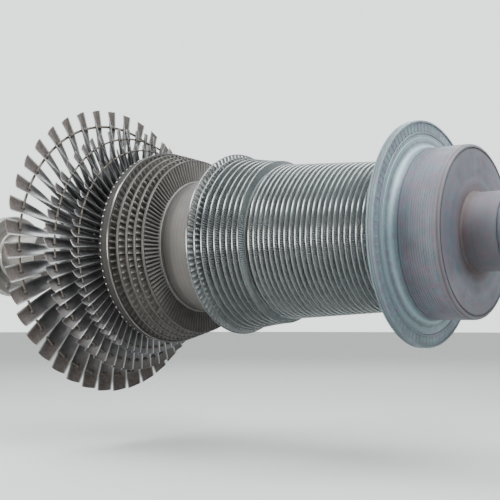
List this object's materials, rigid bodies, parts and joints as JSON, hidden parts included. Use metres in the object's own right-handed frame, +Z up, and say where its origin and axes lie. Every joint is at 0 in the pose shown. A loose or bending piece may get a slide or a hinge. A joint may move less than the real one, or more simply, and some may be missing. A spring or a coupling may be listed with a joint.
{
  "type": "steam turbine rotor",
  "caption": "Steam turbine rotor: forged drum with shrouded reaction rows, a control wheel, a balance piston and twisted free-standing low-pressure blades.",
  "frame": {"origin": "centre of the flat face of the exhaust-end coupling flange, on the rotor's axis", "axes": "+X along the rotor's axis towards the high-pressure end, +Z up, +Y away from the side that the picture shows"},
  "size_m": [4.235, 1.721, 1.721],
  "materials": {
    "forged_steel": "satin, dull brown-grey",
    "machined_steel": "turned, thinly oiled",
    "blade_steel": "dark, polished on the edges",
    "band_steel": "turned satin with oxide film",
    "wheel_steel": "blue-grey oxide film",
    "rusty_steel": "matt brown rust film"
  },
  "bodies": {
    "root": {"coupling_flange": "machined_steel", "exhaust_journal": "machined_steel", "exhaust_gland": "forged_steel", "exhaust_shoulder": "forged_steel", "low_pressure_hub": "forged_steel", "third_last_blade_row": "blade_steel", "second_last_blade_row": "blade_steel", "last_blade_row": "blade_steel", "low_pressure_drum": "forged_steel", "low_pressure_row_1": "band_steel", "low_pressure_row_2": "band_steel", "low_pressure_row_3": "band_steel", "low_pressure_row_4": "band_steel", "low_pressure_row_5": "band_steel", "bare_drum": "forged_steel", "high_pressure_drum_a": "forged_steel", "high_pressure_rows_a1": "band_steel", "high_pressure_rows_a2": "band_steel", "high_pressure_rows_a3": "band_steel", "high_pressure_drum_b": "forged_steel", "high_pressure_rows_b1": "band_steel", "high_pressure_rows_b2": "band_steel", "high_pressure_rows_b3": "band_steel", "high_pressure_rows_b4": "band_steel", "high_pressure_rows_b5": "band_steel", "high_pressure_rows_b6": "band_steel", "control_wheel": "wheel_steel", "control_blade_row": "wheel_steel", "balance_piston": "rusty_steel", "high_pressure_gland": "rusty_steel", "high_pressure_journal": "machined_steel", "thrust_collar": "machined_steel", "high_pressure_shaft_end": "machined_steel"}
  },
  "joints": []
}
